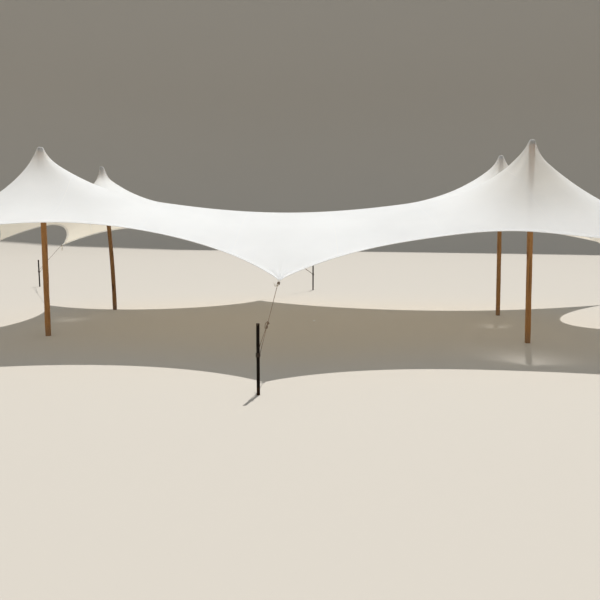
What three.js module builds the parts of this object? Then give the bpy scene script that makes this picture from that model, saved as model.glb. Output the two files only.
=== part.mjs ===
// Stretch tent: a white stretch cloth carried by four timber posts and held out by eight
// guy ropes, each tied to a steel stake. Millimetres, Z up, X to the right, Y to the back.
import * as THREE from 'three';

// Cloth
const CLOTH_THICKNESS = 3;
const SEAM_GAP = 0.4;
const SEAT_GAP = 0.3;
const NET_WIDTH = 2200;
const NET_DEPTH = 1480;
const NET_POST_X = 770;
const NET_POST_Y = 350;
const NET_POST_PATCH = 33;
const HEM_TENSION = { front: 292, back: 448, left: 336, right: 156 };
const SEAM_LINES = [134, 400, 665, 930];
const NET_SPACING = { open: 70, post: 35, tie: 30 };
const NET_SPLIT = 4;

// Posts, sawn square from 70 mm timber
const POST_SIZE = 70;
const POST_ARRIS = 5;
const BOWED_LENGTHS = 12;
const PATCH_RADIUS = 45;
const CAP_FOOT_RADIUS = 42;
const CAP_TOP_RADIUS = 31;
const CAP_HEIGHT = 62;
const CAP_SIDES = 16;
const POSTS = [
  { name: 'front_left', foot: [-3903, -1198], head: [-3881, -1174, 2962], bow: 0 },
  { name: 'front_right', foot: [3598, -1519], head: [3531, -1501, 2996], bow: 0 },
  { name: 'back_left', foot: [-3842, 1770], head: [-4002, 1765, 2937], bow: 39 },
  { name: 'back_right', foot: [3951, 1243], head: [3891, 1248, 3070], bow: 0 },
];

// The crest over each post: the radii of its flat top and of all that it reaches, how far its head stands
// above and beside the even net, how far that draws the cloth along, and the cloth's rise close by and
// further out, level and to the right
const CREST_NEAR = 50;
const CREST_CLOSE = 120;
const CREST_MIDDLE = 220;
const CREST_FAR = 650;
const CREST_WHOLE = 0.6;
const CRESTS = {
  front_left: {
    flat: 38, end: 1500,
    rise: 35, aside: 0, draw: 180, close: 138, middle: -297, far: 138,
    closeRight: 36, middleRight: 3, farRight: -78,
  },
  front_right: {
    flat: 38, end: 2100,
    rise: 62, aside: 38, draw: 146, close: -74, middle: -58, far: 53,
    closeRight: 138, middleRight: -25, farRight: -101,
  },
  back_left: {
    flat: 45, end: 2100,
    rise: 20, aside: 31, draw: 183, close: -232, middle: -265, far: 182,
    closeRight: 245, middleRight: 60, farRight: -178,
  },
  back_right: {
    flat: 38, end: 2100,
    rise: 4, aside: -31, draw: 170, close: 11, middle: -175, far: 57,
    closeRight: -147, middleRight: 153, farRight: -23,
  },
};

// The two front crests' slopes towards the front hem: the cloth's rise there close by and further out,
// level and to the right
const FRONT_SLOPES = {
  front_left: { close: 129, middle: 79, far: -167, closeRight: 81, middleRight: 190, farRight: -180 },
  front_right: { close: -532, middle: 696, far: -77, closeRight: -55, middleRight: -194, farRight: -128 },
};

// Tie points of the cloth, each with the place of its stake; u and v say where on the cloth
const TIES = [
  { name: 'front_left', u: -1, v: -1, at: [-5569, -3823, 1391], stake: [-7000, -5300] },
  { name: 'front_middle', u: 0, v: -1, at: [-28, -3367, 1108], stake: [-180, -4427] },
  { name: 'front_right', u: 1, v: -1, at: [7058, -4072, 921], stake: [7900, -5100] },
  { name: 'right_middle', u: 1, v: 0, at: [5909, 145, 1085], stake: [7700, 100] },
  { name: 'back_right', u: 1, v: 1, at: [6930, 3528, 1355], stake: [8400, 5600] },
  { name: 'back_middle', u: 0, v: 1, at: [-794, 3961, 1286], stake: [261, 5643] },
  { name: 'back_left', u: -1, v: 1, at: [-5438, 3041, 1309], stake: [-7548, 6229] },
  { name: 'left_middle', u: -1, v: 0, at: [-5130, -288, 1483], stake: [-7700, -290] },
];

// Stakes and ropes
const STAKE_RADIUS = 18;
const STAKE_HEIGHT = 765;
const HITCH_HEIGHT = 430;
const ROPE_RADIUS = 4;
const ROPE_SIDES = 5;
const TURN_STEPS = 7;
const TURN_PITCH = 8.9;
const NECK_RADIUS = 11;
const NECK_COIL_START = 40;
const NECK_TURNS = 2.5;
const KNOT_PLACE = 0.36;
const KNOT_TURNS = 4.5;

const clothMaterial = new THREE.MeshStandardMaterial({ color: 0xe9e5dc, roughness: 0.82, metalness: 0 });
const timberMaterial = new THREE.MeshStandardMaterial({ color: 0xb27a45, roughness: 0.75, metalness: 0 });
const capMaterial = new THREE.MeshStandardMaterial({ color: 0x232221, roughness: 0.85, metalness: 0 });
const ropeMaterial = new THREE.MeshStandardMaterial({ color: 0x8d6f4c, roughness: 0.9, metalness: 0 });
const stakeMaterial = new THREE.MeshStandardMaterial({ color: 0x1c1c1e, roughness: 0.5, metalness: 0.6 });

const tent = new THREE.Group();
tent.name = 'stretch_tent';

function addMesh(name, geometry, material) {
  const mesh = new THREE.Mesh(geometry, material.clone());
  mesh.name = name;
  tent.add(mesh);
  return mesh;
}

// Line places along one side of the net: close together at posts and ties, wider between
function gradedLines(stops) {
  const lines = [stops[0].at];
  for (let k = 0; k + 1 < stops.length; k += 1) {
    const start = stops[k];
    const length = stops[k + 1].at - start.at;
    let stepA = start.step;
    let stepB = stops[k + 1].step;
    if (length > Math.max(stepA, stepB) * 1.5) {
      const left = [0];
      const right = [length];
      while (left[left.length - 1] + stepA < right[right.length - 1] - stepB - 1e-6) {
        if (stepA <= stepB) {
          left.push(left[left.length - 1] + stepA);
          stepA = Math.min(stepA * 1.35, NET_SPACING.open);
        } else {
          right.push(right[right.length - 1] - stepB);
          stepB = Math.min(stepB * 1.35, NET_SPACING.open);
        }
      }
      for (const place of left.slice(1).concat(right.slice(1).reverse())) {
        lines.push(start.at + place);
      }
    }
    lines.push(stops[k + 1].at);
  }
  return lines;
}

function mirroredStops(half) {
  const stops = half.concat(half.filter((s) => s.at > 0).map((s) => ({ at: -s.at, step: s.step })));
  return stops.sort((a, b) => a.at - b.at);
}

const { open, post, tie } = NET_SPACING;
const uLines = gradedLines(mirroredStops([
  { at: 0, step: tie },
  { at: NET_POST_X - NET_POST_PATCH, step: post },
  { at: NET_POST_X + NET_POST_PATCH, step: post },
  { at: NET_WIDTH / 2, step: tie },
  ...SEAM_LINES.map((at) => ({ at, step: open })),
]));
const vLines = gradedLines(mirroredStops([
  { at: 0, step: tie },
  { at: NET_POST_Y - NET_POST_PATCH, step: post },
  { at: NET_POST_Y + NET_POST_PATCH, step: post },
  { at: NET_DEPTH / 2, step: tie },
]));

// The net has further lines, evenly set between these; the solids use only the first ones
function splitLines(lines) {
  const out = [];
  for (let k = 0; k + 1 < lines.length; k += 1) {
    for (let s = 0; s < NET_SPLIT; s += 1) {
      out.push(lines[k] + ((lines[k + 1] - lines[k]) * s) / NET_SPLIT);
    }
  }
  out.push(lines[lines.length - 1]);
  return out;
}

function nearestLine(lines, place) {
  let best = 0;
  lines.forEach((line, k) => {
    if (Math.abs(line - place) < Math.abs(lines[best] - place)) best = k;
  });
  return best;
}

const uNet = splitLines(uLines);
const vNet = splitLines(vLines);
const netAt = (i, j) => i * vNet.length + j;
const nodeCount = uNet.length * vNet.length;

// Pull of each thread of the net: as wide as the strip of cloth it stands for, plus the hem
const reach = (lines, k) => {
  const before = k > 0 ? lines[k] - lines[k - 1] : 0;
  const after = k + 1 < lines.length ? lines[k + 1] - lines[k] : 0;
  return (before + after) / 2;
};
const hemTension = (k, lines, first, last) => {
  if (k === 0) return first;
  return k === lines.length - 1 ? last : 0;
};
const threads = [];
for (let i = 0; i < uNet.length; i += 1) {
  for (let j = 0; j < vNet.length; j += 1) {
    if (i + 1 < uNet.length) {
      const hem = hemTension(j, vNet, HEM_TENSION.front, HEM_TENSION.back);
      threads.push([netAt(i, j), netAt(i + 1, j), (reach(vNet, j) + hem) / (uNet[i + 1] - uNet[i])]);
    }
    if (j + 1 < vNet.length) {
      const hem = hemTension(i, uNet, HEM_TENSION.left, HEM_TENSION.right);
      threads.push([netAt(i, j), netAt(i, j + 1), (reach(uNet, i) + hem) / (vNet[j + 1] - vNet[j])]);
    }
  }
}

// Held nodes: the round patch of cloth that lies on each post's pad, and the eight tie points
const held = new Map();
for (const p of POSTS) {
  p.crest = CRESTS[p.name];
  p.netHead = [p.head[0] - p.crest.aside, p.head[1], p.head[2] - p.crest.rise];
}
POSTS.forEach((p, k) => {
  const u = (k % 2 === 0 ? -1 : 1) * NET_POST_X;
  const v = (k < 2 ? -1 : 1) * NET_POST_Y;
  uNet.forEach((line, i) => {
    if (Math.abs(line - u) > NET_POST_PATCH + 1e-6) return;
    vNet.forEach((other, j) => {
      if (Math.abs(other - v) > NET_POST_PATCH + 1e-6) return;
      const a = (line - u) / NET_POST_PATCH;
      const b = (other - v) / NET_POST_PATCH;
      const ox = PATCH_RADIUS * a * Math.sqrt(1 - (b * b) / 2);
      const oy = PATCH_RADIUS * b * Math.sqrt(1 - (a * a) / 2);
      held.set(netAt(i, j), [p.netHead[0] + ox, p.netHead[1] + oy, p.netHead[2]]);
    });
  });
});
for (const t of TIES) {
  held.set(netAt(nearestLine(uNet, (t.u * NET_WIDTH) / 2), nearestLine(vNet, (t.v * NET_DEPTH) / 2)), t.at);
}

// Balance of the net, one coordinate at a time, by conjugate gradients
function applyNet(values) {
  const out = new Float64Array(nodeCount);
  for (const [a, b, pull] of threads) {
    const force = pull * (values[a] - values[b]);
    out[a] += force;
    out[b] -= force;
  }
  for (const node of held.keys()) out[node] = 0;
  return out;
}

function balance(axis) {
  const values = new Float64Array(nodeCount);
  for (const [node, place] of held) values[node] = place[axis];
  const residual = applyNet(values).map((v) => -v);
  const direction = residual.slice();
  let size = residual.reduce((sum, v) => sum + v * v, 0);
  for (let round = 0; round < 6000 && size > 1e-9; round += 1) {
    const pulled = applyNet(direction);
    let along = 0;
    for (let k = 0; k < nodeCount; k += 1) along += pulled[k] * direction[k];
    const step = size / along;
    let next = 0;
    for (let k = 0; k < nodeCount; k += 1) {
      values[k] += step * direction[k];
      residual[k] -= step * pulled[k];
      next += residual[k] * residual[k];
    }
    for (let k = 0; k < nodeCount; k += 1) direction[k] = residual[k] + (next / size) * direction[k];
    size = next;
  }
  return values;
}

const netX = balance(0);
const netY = balance(1);
const netZ = balance(2);

// Distance out from a post's pad: none on the pad, where the cloth lies flat
function pastPad(r, flat) {
  return r < PATCH_RADIUS + 1 ? 0 : r - flat;
}

// All that a crest does to the cloth dies out smoothly well before the ties
function crestFade(r, end) {
  const left = Math.min(Math.max((1 - r / end) / (1 - CREST_WHOLE), 0), 1);
  return left * left * (3 - 2 * left);
}

// The cloth's rise and drift over one post: the crest's own height falls off fast with the distance
// from its pad, the middle and far parts slowly
function crestAt(p, x, y) {
  const c = p.crest;
  const dx = x - p.netHead[0];
  const r = Math.hypot(dx, y - p.netHead[1]);
  const past = pastPad(r, c.flat);
  const near = Math.exp(-past / CREST_NEAR);
  const close = Math.exp(-past / CREST_CLOSE);
  const middle = Math.exp(-past / CREST_MIDDLE);
  const far = Math.exp(-past / CREST_FAR);
  const right = (dx / Math.max(r, 1)) * (1 - near);
  const fade = crestFade(r, c.end);
  const sharp = (c.rise - c.close - c.middle - c.far) * near;
  const even = sharp + c.close * close + c.middle * middle + c.far * far;
  const sideways = right * (c.closeRight * close + c.middleRight * middle + c.farRight * far);
  return { rise: (even + sideways) * fade, aside: c.aside * Math.exp(-past / c.draw) * fade };
}

// The front slope's own rise: none behind the post or at its pad, whole straight in front of it
function frontSlopeAt(p, x, y) {
  const slope = FRONT_SLOPES[p.name];
  if (!slope) return 0;
  const dx = x - p.head[0];
  const dy = y - p.head[1];
  const r = Math.max(Math.hypot(dx, dy), 1);
  const past = pastPad(r, p.crest.flat);
  const close = Math.exp(-past / CREST_CLOSE);
  const middle = Math.exp(-past / CREST_MIDDLE);
  const far = Math.exp(-past / CREST_FAR);
  const forward = Math.max(-dy / r, 0) ** 2 * (1 - Math.exp(-past / CREST_NEAR));
  const even = slope.close * close + slope.middle * middle + slope.far * far;
  const sideways = slope.closeRight * close + slope.middleRight * middle + slope.farRight * far;
  return forward * (even + (dx / r) * sideways) * crestFade(r, p.crest.end);
}

// Lines of the net that the solids use: every NET_SPLITth, and more of them close to the posts
function solidLines(count, net, postPlace) {
  const lines = [];
  for (let k = 0; k < count; k += 1) {
    lines.push(k * NET_SPLIT);
    const start = net[k * NET_SPLIT];
    const end = net[Math.min((k + 1) * NET_SPLIT, net.length - 1)];
    const off = Math.abs(Math.abs((start + end) / 2) - postPlace);
    if (k + 1 === count) continue;
    if (off < 1) lines.push(k * NET_SPLIT + 2);
    else if (off < NET_POST_PATCH + 30) lines.push(...[1, 2, 3].map((n) => k * NET_SPLIT + n));
  }
  return lines;
}

const uSolid = solidLines(uLines.length, uNet, NET_POST_X);
const vSolid = solidLines(vLines.length, vNet, NET_POST_Y);
const nu = uSolid.length;
const nv = vSolid.length;
function netPoint(i, j) {
  const node = netAt(uSolid[i], vSolid[j]);
  const point = new THREE.Vector3(netX[node], netY[node], netZ[node]);
  for (const p of POSTS) {
    const crest = crestAt(p, netX[node], netY[node]);
    point.x += crest.aside;
    point.z += crest.rise;
  }
  const slopes = POSTS.map((p) => frontSlopeAt(p, point.x, point.y));
  point.z += slopes.reduce((sum, rise) => sum + rise, 0);
  return point;
}

// Directions at each tie: along the rope, up across it, and level across it
const uPlaces = uSolid.map((line) => uNet[line]);
const vPlaces = vSolid.map((line) => vNet[line]);
for (const t of TIES) {
  t.i = nearestLine(uPlaces, (t.u * NET_WIDTH) / 2);
  t.j = nearestLine(vPlaces, (t.v * NET_DEPTH) / 2);
  t.point = new THREE.Vector3(...t.at);
  t.hitch = new THREE.Vector3(t.stake[0], t.stake[1], HITCH_HEIGHT);
  t.along = t.hitch.clone().sub(t.point).normalize();
  t.up = new THREE.Vector3(0, 0, 1).addScaledVector(t.along, -t.along.z).normalize();
  t.across = new THREE.Vector3().crossVectors(t.along, t.up).normalize();
}

function netNormal(i, j) {
  const t = TIES.find((each) => each.i === i && each.j === j);
  if (t) return t.up;
  const du = netPoint(Math.min(i + 1, nu - 1), j).sub(netPoint(Math.max(i - 1, 0), j));
  const dv = netPoint(i, Math.min(j + 1, nv - 1)).sub(netPoint(i, Math.max(j - 1, 0)));
  return du.cross(dv).normalize();
}

// One strip of cloth between two seams, closed on all sides
function clothStrip(first, last) {
  const columns = last - first + 1;
  const vertices = [];
  for (const side of [1, -1]) {
    for (let i = first; i <= last; i += 1) {
      for (let j = 0; j < nv; j += 1) {
        const point = netPoint(i, j);
        if (i === first && first > 0) {
          point.add(netPoint(i + 1, j).sub(point).setLength(SEAM_GAP / 2));
        }
        if (i === last && last < nu - 1) {
          point.add(netPoint(i - 1, j).sub(point).setLength(SEAM_GAP / 2));
        }
        point.addScaledVector(netNormal(i, j), (side * CLOTH_THICKNESS) / 2);
        vertices.push(point.x, point.y, point.z);
      }
    }
  }
  const top = (c, j) => c * nv + j;
  const under = (c, j) => (columns + c) * nv + j;
  const triangles = [];
  const quad = (a, b, c, d) => triangles.push(a, b, c, a, c, d);
  for (let c = 0; c + 1 < columns; c += 1) {
    for (let j = 0; j + 1 < nv; j += 1) {
      quad(top(c, j), top(c + 1, j), top(c + 1, j + 1), top(c, j + 1));
      quad(under(c, j), under(c, j + 1), under(c + 1, j + 1), under(c + 1, j));
    }
    quad(under(c, 0), under(c + 1, 0), top(c + 1, 0), top(c, 0));
    quad(top(c, nv - 1), top(c + 1, nv - 1), under(c + 1, nv - 1), under(c, nv - 1));
  }
  for (let j = 0; j + 1 < nv; j += 1) {
    quad(under(0, j), top(0, j), top(0, j + 1), under(0, j + 1));
    quad(under(columns - 1, j), under(columns - 1, j + 1), top(columns - 1, j + 1), top(columns - 1, j));
  }
  const geometry = new THREE.BufferGeometry();
  geometry.setAttribute('position', new THREE.Float32BufferAttribute(vertices, 3));
  geometry.setIndex(triangles);
  geometry.computeVertexNormals();
  return geometry;
}

const seams = SEAM_LINES.concat(SEAM_LINES.map((at) => -at)).sort((a, b) => a - b);
const cuts = [0, ...seams.map((at) => nearestLine(uPlaces, at)), nu - 1];
for (let k = 0; k + 1 < cuts.length; k += 1) {
  addMesh(`canopy_strip_${k + 1}`, clothStrip(cuts[k], cuts[k + 1]), clothMaterial);
}

// A closed body with the given rings of points, each ring the same way round
function ringBody(rings) {
  const sides = rings[0].length;
  const vertices = [];
  const triangles = [];
  rings.flat().forEach((p) => vertices.push(p.x, p.y, p.z));
  for (let r = 0; r + 1 < rings.length; r += 1) {
    for (let s = 0; s < sides; s += 1) {
      const a = r * sides + s;
      const b = r * sides + ((s + 1) % sides);
      triangles.push(a, b, b + sides, a, b + sides, a + sides);
    }
  }
  const last = (rings.length - 1) * sides;
  for (let s = 1; s + 1 < sides; s += 1) {
    triangles.push(0, s + 1, s);
    triangles.push(last, last + s, last + s + 1);
  }
  const geometry = new THREE.BufferGeometry();
  geometry.setAttribute('position', new THREE.Float32BufferAttribute(vertices, 3));
  geometry.setIndex(triangles);
  geometry.computeVertexNormals();
  return geometry;
}

// A round body along a line of points; its frame is carried along without twisting
function sweptRound(points, radius, sides) {
  const tangents = points.map((p, k) => {
    const before = points[Math.max(k - 1, 0)];
    const after = points[Math.min(k + 1, points.length - 1)];
    return after.clone().sub(before).normalize();
  });
  const start = Math.abs(tangents[0].z) < 0.9 ? new THREE.Vector3(0, 0, 1) : new THREE.Vector3(1, 0, 0);
  let side = start.addScaledVector(tangents[0], -start.dot(tangents[0])).normalize();
  const rings = points.map((p, k) => {
    side = side.clone().addScaledVector(tangents[k], -side.dot(tangents[k])).normalize();
    const other = new THREE.Vector3().crossVectors(tangents[k], side);
    const size = typeof radius === 'number' ? radius : radius[k];
    const ring = [];
    for (let s = 0; s < sides; s += 1) {
      const turn = (2 * Math.PI * s) / sides;
      const point = p.clone().addScaledVector(side, size * Math.cos(turn));
      ring.push(point.addScaledVector(other, size * Math.sin(turn)));
    }
    return ring;
  });
  return ringBody(rings);
}

// Posts with broken arrises, cut level at foot and head, and the pads on their heads
function squareRing(x, y, z, size, corner) {
  const h = size / 2;
  const c = h - corner;
  const outline = [[h, -c], [h, c], [c, h], [-c, h], [-h, c], [-h, -c], [-c, -h], [c, -h]];
  return outline.map(([ox, oy]) => new THREE.Vector3(x + ox, y + oy, z));
}

function roundRing(x, y, z, radius) {
  const ring = [];
  for (let s = 0; s < CAP_SIDES; s += 1) {
    const turn = (2 * Math.PI * s) / CAP_SIDES;
    ring.push(new THREE.Vector3(x + radius * Math.cos(turn), y + radius * Math.sin(turn), z));
  }
  return ring;
}

for (const p of POSTS) {
  const padTop = p.head[2] - CLOTH_THICKNESS / 2 - SEAT_GAP;
  const padFoot = padTop - CAP_HEIGHT;
  const postTop = padFoot - SEAT_GAP;
  const lengths = p.bow ? BOWED_LENGTHS : 1;
  addMesh(`post_${p.name}`, ringBody(Array.from({ length: lengths + 1 }, (_, k) => {
    const share = k / lengths;
    const x = p.foot[0] + (p.head[0] - p.foot[0]) * share + 4 * p.bow * share * (1 - share);
    const y = p.foot[1] + (p.head[1] - p.foot[1]) * share;
    return squareRing(x, y, postTop * share, POST_SIZE, POST_ARRIS);
  })), timberMaterial);
  addMesh(`post_cap_${p.name}`, ringBody([
    roundRing(p.head[0], p.head[1], padFoot, CAP_FOOT_RADIUS - 4),
    roundRing(p.head[0], p.head[1], padFoot + 4, CAP_FOOT_RADIUS),
    roundRing(p.head[0], p.head[1], padFoot + 20, CAP_FOOT_RADIUS),
    roundRing(p.head[0], p.head[1], padTop - 8, CAP_TOP_RADIUS),
    roundRing(p.head[0], p.head[1], padTop, CAP_TOP_RADIUS - 9),
  ]), capMaterial);
}

// The gathered end of the cloth at a tie, past its rope binding: it hangs down, or at the front middle
// it is curled up short. Each station is out along the rope, aside, down, and the radius there.
const BUNCH = [
  [SEAT_GAP, 0, 0, 5], [12, 0, 0, 13], [24, 0, 0, 14], [33, 0, 0, NECK_RADIUS], [72, 0, 0, NECK_RADIUS],
];
const HANGING_END = [
  [82, 0, 5, 13], [93, 0, 20, 15], [99, 0, 44, 13], [101, 0, 80, 11], [102, 0, 118, 9],
];
const CURLED_END = [
  [81, 4, 3, 12], [88, 15, 6, 12], [86, 30, 8, 11.5], [74, 43, 8, 11], [56, 51, 6, 10], [40, 55, 3, 8.5],
];

function tailBody(t) {
  const stations = BUNCH.concat(t.name === 'front_middle' ? CURLED_END : HANGING_END);
  const points = stations.map(([out, aside, drop]) => {
    const point = t.point.clone().addScaledVector(t.along, out).addScaledVector(t.across, aside);
    point.z -= drop;
    return point;
  });
  return sweptRound(points, stations.map((s) => s[3]), 8);
}

// A rope: coil round the gathered cloth, line to the stake, round it and back to its knot
function ropeLine(t) {
  const points = [];
  const chord = Math.cos(Math.PI / TURN_STEPS);
  const coil = (origin, axis, first, second, radius, from, turns) => {
    const count = Math.round(turns * TURN_STEPS);
    for (let k = 0; k <= count; k += 1) {
      const turn = from + (2 * Math.PI * k) / TURN_STEPS;
      const p = origin.clone().addScaledVector(axis, (TURN_PITCH * k) / TURN_STEPS);
      p.addScaledVector(first, radius * Math.cos(turn)).addScaledVector(second, radius * Math.sin(turn));
      points.push(p);
    }
  };
  const neckCoil = (NECK_RADIUS + ROPE_RADIUS + 0.4) / chord;
  const neckEnd = NECK_COIL_START + NECK_TURNS * TURN_PITCH;
  coil(t.point.clone().addScaledVector(t.along, NECK_COIL_START), t.along, t.up, t.across,
    neckCoil, -2 * Math.PI * NECK_TURNS - 0.7, NECK_TURNS);
  const place = (out, rise, over) => t.point.clone().addScaledVector(t.along, out)
    .addScaledVector(t.up, rise).addScaledVector(t.across, over);
  points.push(place(neckEnd + 5, neckCoil + 1.5, -3));
  points.push(place(neckEnd + 14, neckCoil + 3, 0));

  // line to the stake, which it passes on the side away from the cloth's curl
  const offset = (STAKE_RADIUS + ROPE_RADIUS + 0.4) / Math.cos(Math.PI / 14);
  const lineStart = place(neckEnd + 30, neckCoil + 3, 0);
  const lineEnd = t.hitch.clone().addScaledVector(t.across, -offset);
  points.push(lineStart, lineEnd);

  // round the back of the stake, in the slope of the line
  const level = new THREE.Vector3(t.along.x, t.along.y, 0);
  const fall = t.along.z / level.length();
  level.normalize();
  for (let k = 1; k <= 7; k += 1) {
    const turn = (Math.PI * k) / 7;
    const p = t.hitch.clone().addScaledVector(t.across, -offset * Math.cos(turn));
    p.addScaledVector(level, offset * Math.sin(turn));
    p.z += fall * offset * Math.sin(turn);
    points.push(p);
  }

  // back up to the knot round the line, and the short free end
  const up = lineStart.clone().sub(lineEnd).normalize();
  const knot = lineEnd.clone().lerp(lineStart, KNOT_PLACE);
  const side = t.across.clone().addScaledVector(up, -t.across.dot(up)).normalize();
  const other = new THREE.Vector3().crossVectors(up, side);
  const wrap = (2 * ROPE_RADIUS + 0.4) / chord;
  points.push(knot.clone().addScaledVector(side, wrap + 1.5).addScaledVector(up, -16));
  coil(knot, up, side, other, wrap, 0.6, KNOT_TURNS);
  const end = points[points.length - 1].clone();
  const away = end.clone().sub(points[points.length - 2]).normalize();
  points.push(end.clone().addScaledVector(away, 12).add(new THREE.Vector3(0, 0, -3)));
  points.push(end.clone().addScaledVector(away, 20).add(new THREE.Vector3(0, 0, -22)));
  points.push(end.clone().addScaledVector(away, 22).add(new THREE.Vector3(0, 0, -62)));
  return points;
}

for (const t of TIES) {
  addMesh(`cloth_tail_${t.name}`, tailBody(t), clothMaterial);
  addMesh(`guy_rope_${t.name}`, sweptRound(ropeLine(t), ROPE_RADIUS, ROPE_SIDES), ropeMaterial);
  const profile = [
    [0, 0],
    [STAKE_RADIUS, 0],
    [STAKE_RADIUS, STAKE_HEIGHT - 6],
    [STAKE_RADIUS - 6, STAKE_HEIGHT],
    [0, STAKE_HEIGHT],
  ];
  const stake = new THREE.LatheGeometry(profile.map(([r, h]) => new THREE.Vector2(r, h)), 12);
  stake.rotateX(Math.PI / 2);
  stake.translate(t.stake[0], t.stake[1], 0);
  addMesh(`ground_stake_${t.name}`, stake, stakeMaterial);
}

// The origin is on the ground under the middle of the whole tent
const bounds = new THREE.Box3().setFromObject(tent);
tent.children.forEach((mesh) => {
  mesh.geometry.translate(-(bounds.min.x + bounds.max.x) / 2, -(bounds.min.y + bounds.max.y) / 2, 0);
});

export default tent;
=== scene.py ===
# Stretch tent: one white stretch cloth over four timber posts, tied down by eight ropes to steel stakes.
# Metres, Z up, X to the right along the tent, Y to the back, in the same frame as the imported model.
import math
import bmesh
import bpy
import numpy as np
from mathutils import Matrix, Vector


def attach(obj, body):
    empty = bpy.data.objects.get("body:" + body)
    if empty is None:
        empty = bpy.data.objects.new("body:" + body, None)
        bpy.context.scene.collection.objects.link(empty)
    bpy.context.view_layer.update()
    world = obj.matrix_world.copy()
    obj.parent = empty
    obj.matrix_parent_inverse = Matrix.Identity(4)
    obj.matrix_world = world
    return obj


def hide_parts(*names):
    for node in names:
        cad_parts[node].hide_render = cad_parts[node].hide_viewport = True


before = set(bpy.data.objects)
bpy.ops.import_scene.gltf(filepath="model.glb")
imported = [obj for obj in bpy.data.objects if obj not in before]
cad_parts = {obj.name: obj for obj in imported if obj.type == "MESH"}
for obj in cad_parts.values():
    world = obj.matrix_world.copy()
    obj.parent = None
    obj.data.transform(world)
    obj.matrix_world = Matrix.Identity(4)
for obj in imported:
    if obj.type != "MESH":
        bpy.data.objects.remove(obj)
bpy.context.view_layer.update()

# Where the tent is seen from
# The tent is seen from its long open front, a little right of the middle, at standing eye height,
# through a lens as long as the square frame is wide, tipped seven degrees down.
camera = bpy.data.objects.new("camera", bpy.data.cameras.new("camera"))
camera.data.sensor_width = 36.0
camera.data.lens = 36.0
camera.data.clip_end = 400.0
camera.location = (0.1212, -11.0129, 1.7902)
tipped_down, turned_left = 0.1268, 0.0348
camera.rotation_euler = (math.pi / 2 - tipped_down, 0.0, turned_left)
bpy.context.scene.collection.objects.link(camera)
bpy.context.scene.camera = camera

# Floor and light
# The tent stands on a plain pale studio floor that turns up into a backdrop far away on all sides.
# One lamp stands high behind the tent, so that the cloth glows; the pale room fills the rest.
floor_flat, floor_turn, floor_height = 27.0, 12.0, 24.0


def surface(name, points, around=False, ends=False, lay=None):
    """A mesh on a grid of points: a vertex for each grid point, a quad for each grid cell.
    With around, the second direction closes on itself; with ends, the first and last rows are filled in.
    lay gives each point its place on the material, in metres; around, it has a column more than points."""
    rows, columns = points.shape[:2]
    number = np.arange(rows * columns).reshape(rows, columns)
    if around:
        number = np.concatenate([number, number[:, :1]], axis=1)

    def cells(grid):
        """The four corners of each cell of a grid, in turn."""
        four = [grid[:-1, :-1], grid[1:, :-1], grid[1:, 1:], grid[:-1, 1:]]
        return np.stack(four, axis=-1).reshape(-1, 4)

    faces = cells(number).tolist()
    if ends:
        faces += [number[0, :columns].tolist(), number[-1, :columns][::-1].tolist()]
    mesh = bpy.data.meshes.new(name)
    mesh.from_pydata(points.reshape(-1, 3).tolist(), [], faces)
    if lay is not None:
        wide = lay.shape[1]
        place = np.arange(rows * wide).reshape(rows, wide)
        corners = cells(place).ravel()
        if ends:
            corners = np.concatenate([corners, place[0, :columns], place[-1, :columns][::-1]])
        layer = mesh.uv_layers.new(name="lay")
        layer.data.foreach_set("uv", lay.reshape(-1, 2)[corners].astype(np.float32).ravel())
    mesh.shade_smooth()
    if ends:
        mesh.set_sharp_from_angle(angle=math.radians(48))
        solid = bmesh.new()
        solid.from_mesh(mesh)
        bmesh.ops.recalc_face_normals(solid, faces=solid.faces)
        solid.to_mesh(mesh)
        solid.free()
    made = bpy.data.objects.new(name, mesh)
    bpy.context.scene.collection.objects.link(made)
    return made


def finish_of(name, colour, roughness, sheen=0.0):
    """A material with one main shader. Returns both, with add(kind, sockets, settings...), which makes a
    node, and join(node, sockets), which sets each named socket to a value or joins it to another output."""
    material = bpy.data.materials.new(name)
    material.use_nodes = True
    tree = material.node_tree
    shader = tree.nodes["Principled BSDF"]
    shader.inputs["Base Color"].default_value = (*colour, 1.0)
    shader.inputs["Roughness"].default_value = roughness
    shader.inputs["Sheen Weight"].default_value = sheen

    def add(kind, sockets=None, **settings):
        """A new node with its settings, and its sockets set or joined."""
        node = tree.nodes.new(kind)
        for key, value in settings.items():
            setattr(node, key, value)
        join(node, sockets or {})
        return node

    def join(node, sockets):
        """Sets each socket of a node to a value, or joins it to the output given for it."""
        for key, value in sockets.items():
            if isinstance(value, bpy.types.NodeSocket):
                tree.links.new(value, node.inputs[key])
            else:
                node.inputs[key].default_value = value

    return material, shader, add, join


turn = np.linspace(0, 2 * math.pi, 97)[:-1]
bend = np.linspace(0, math.pi / 2, 13)
flat_rings = np.array([0.02, 3.0, 8.0, 14.0, 20.0])
bend_radius, top_radius = floor_flat + floor_turn * np.sin(bend), floor_flat + floor_turn + 0.1
floor_radius = np.concatenate([flat_rings, bend_radius, [top_radius]])[:, None]
floor_rise = np.concatenate([0 * flat_rings, floor_turn * (1 - np.cos(bend)), [floor_height]])[:, None]
floor_rings = [floor_radius * np.cos(turn), floor_radius * np.sin(turn), floor_rise + 0 * turn]
floor = surface("floor", np.stack(floor_rings, axis=-1), around=True)
floor.data.materials.append(finish_of("studio_floor", (0.47, 0.43, 0.375), 0.95)[0])

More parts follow.
